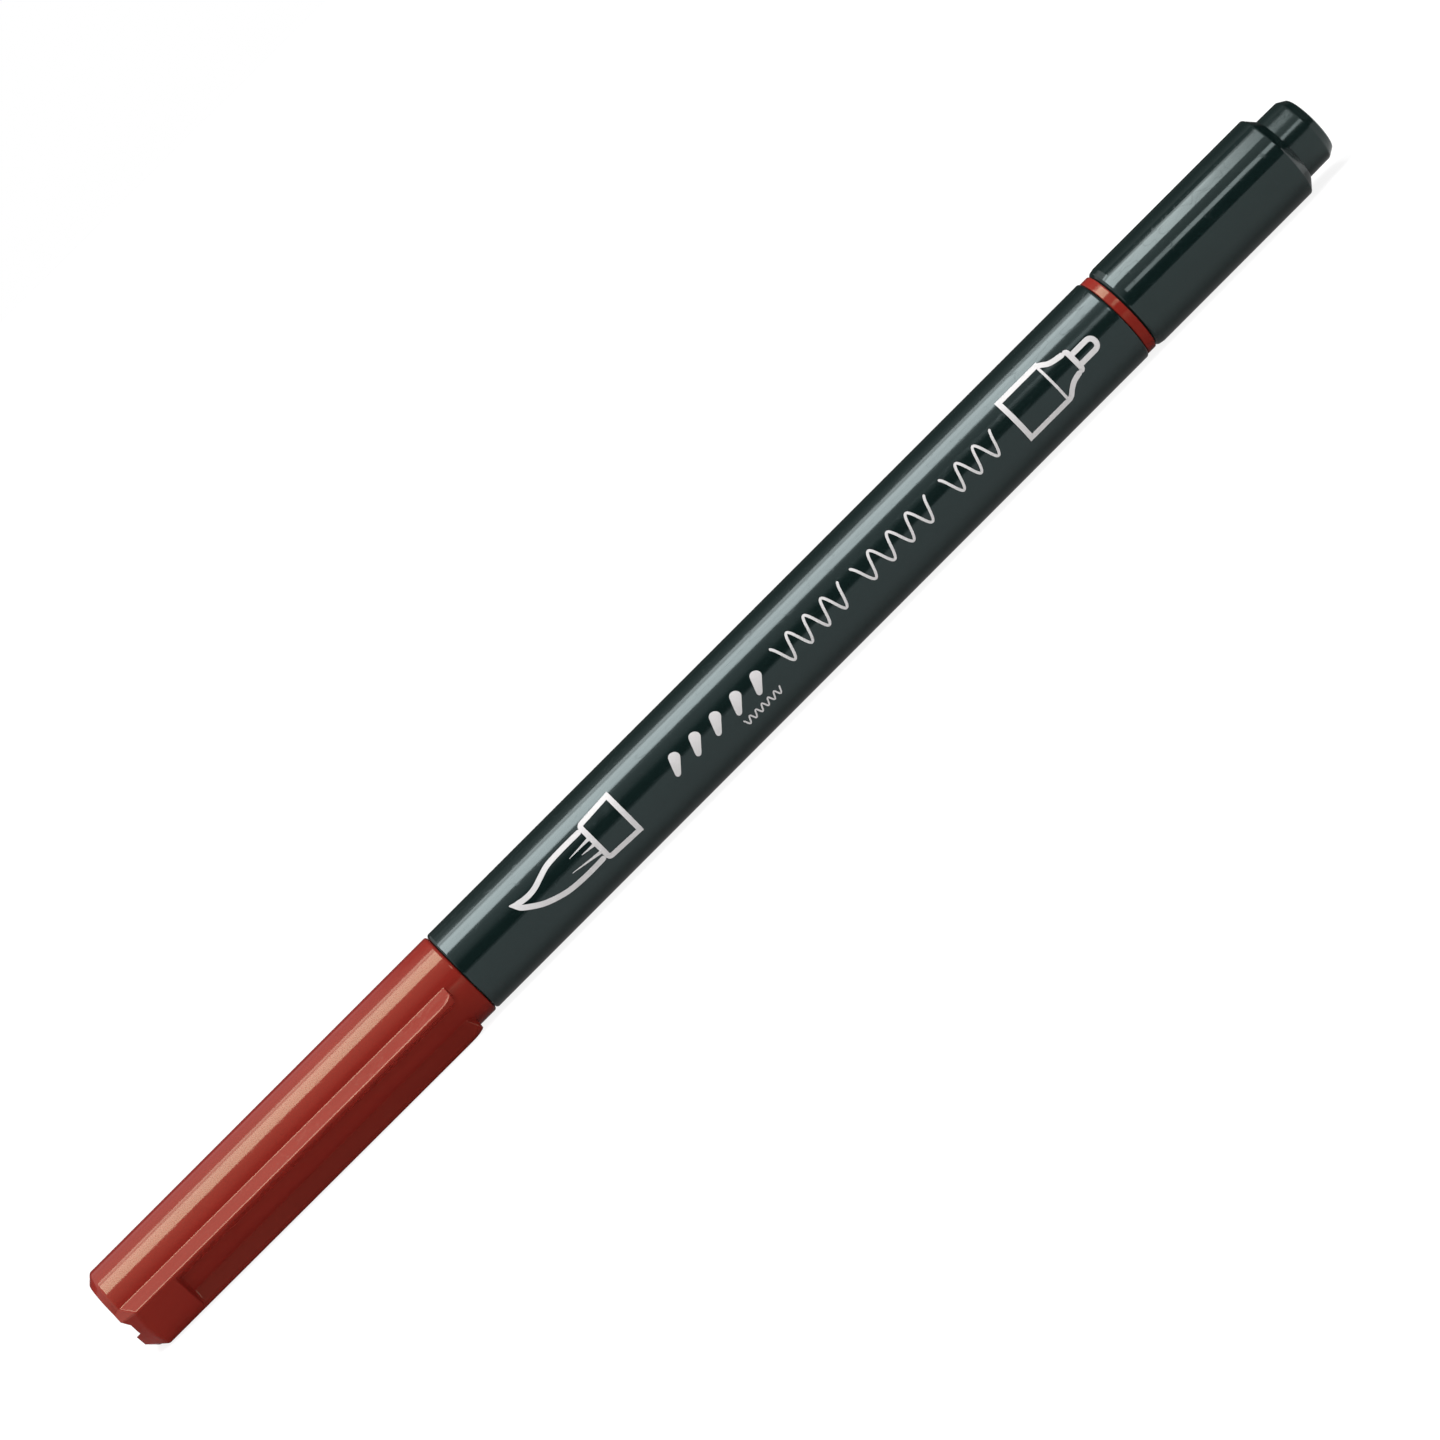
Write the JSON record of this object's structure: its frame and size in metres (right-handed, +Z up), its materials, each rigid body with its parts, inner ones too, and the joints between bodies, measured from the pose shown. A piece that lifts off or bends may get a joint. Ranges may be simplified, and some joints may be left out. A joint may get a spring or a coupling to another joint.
{
  "type": "brush pen",
  "caption": "Capped round writing pen with a soft bristle brush at one end and a fine fibre nib at the other, each under a pull-off cap.",
  "frame": {"origin": "centre of the flat closed end of the brush cap, on the pen's axis", "axes": "+X along the pen from the brush cap's closed end to the fine cap's nose; +Z up, with the pen lying on its side"},
  "size_m": [0.1587, 0.0111, 0.0096],
  "materials": {
    "black_gloss": "polished black plastic with a very slight green cast",
    "black_satin": "satin black plastic",
    "black_plug": "semi-gloss black plastic with faint moulding marks",
    "red_gloss": "glossy deep red plastic",
    "natural_plastic": "undyed milky plastic",
    "clear_film": "thin clear film",
    "ink_fibre": "ink-soaked bonded fibre",
    "bristle": "fine synthetic bristles, ink-stained",
    "nib_fibre": "dense fibre nib, ink-stained",
    "silver_print": "silver foil print"
  },
  "bodies": {
    "pen": {"barrel": "black_gloss", "colour_ring": "red_gloss", "brush_section": "black_satin", "brush_collar": "natural_plastic", "brush_tip": "bristle", "brush_feed": "ink_fibre", "reservoir_core": "ink_fibre", "reservoir_film": "clear_film", "fine_section": "black_satin", "fine_nib": "nib_fibre"},
    "brush_cap": {"brush_cap": "red_gloss", "brush_inner_cap": "natural_plastic"},
    "fine_cap": {"fine_cap": "black_gloss", "fine_inner_cap": "black_plug"}
  },
  "joints": [
    {"name": "brush_cap_pull", "type": "slide", "parent": "pen", "child": "brush_cap", "axis": [-1, 0, 0], "range_m": [0, 0.045]},
    {"name": "fine_cap_pull", "type": "slide", "parent": "pen", "child": "fine_cap", "axis": [1, 0, 0], "range_m": [0, 0.028]}
  ]
}
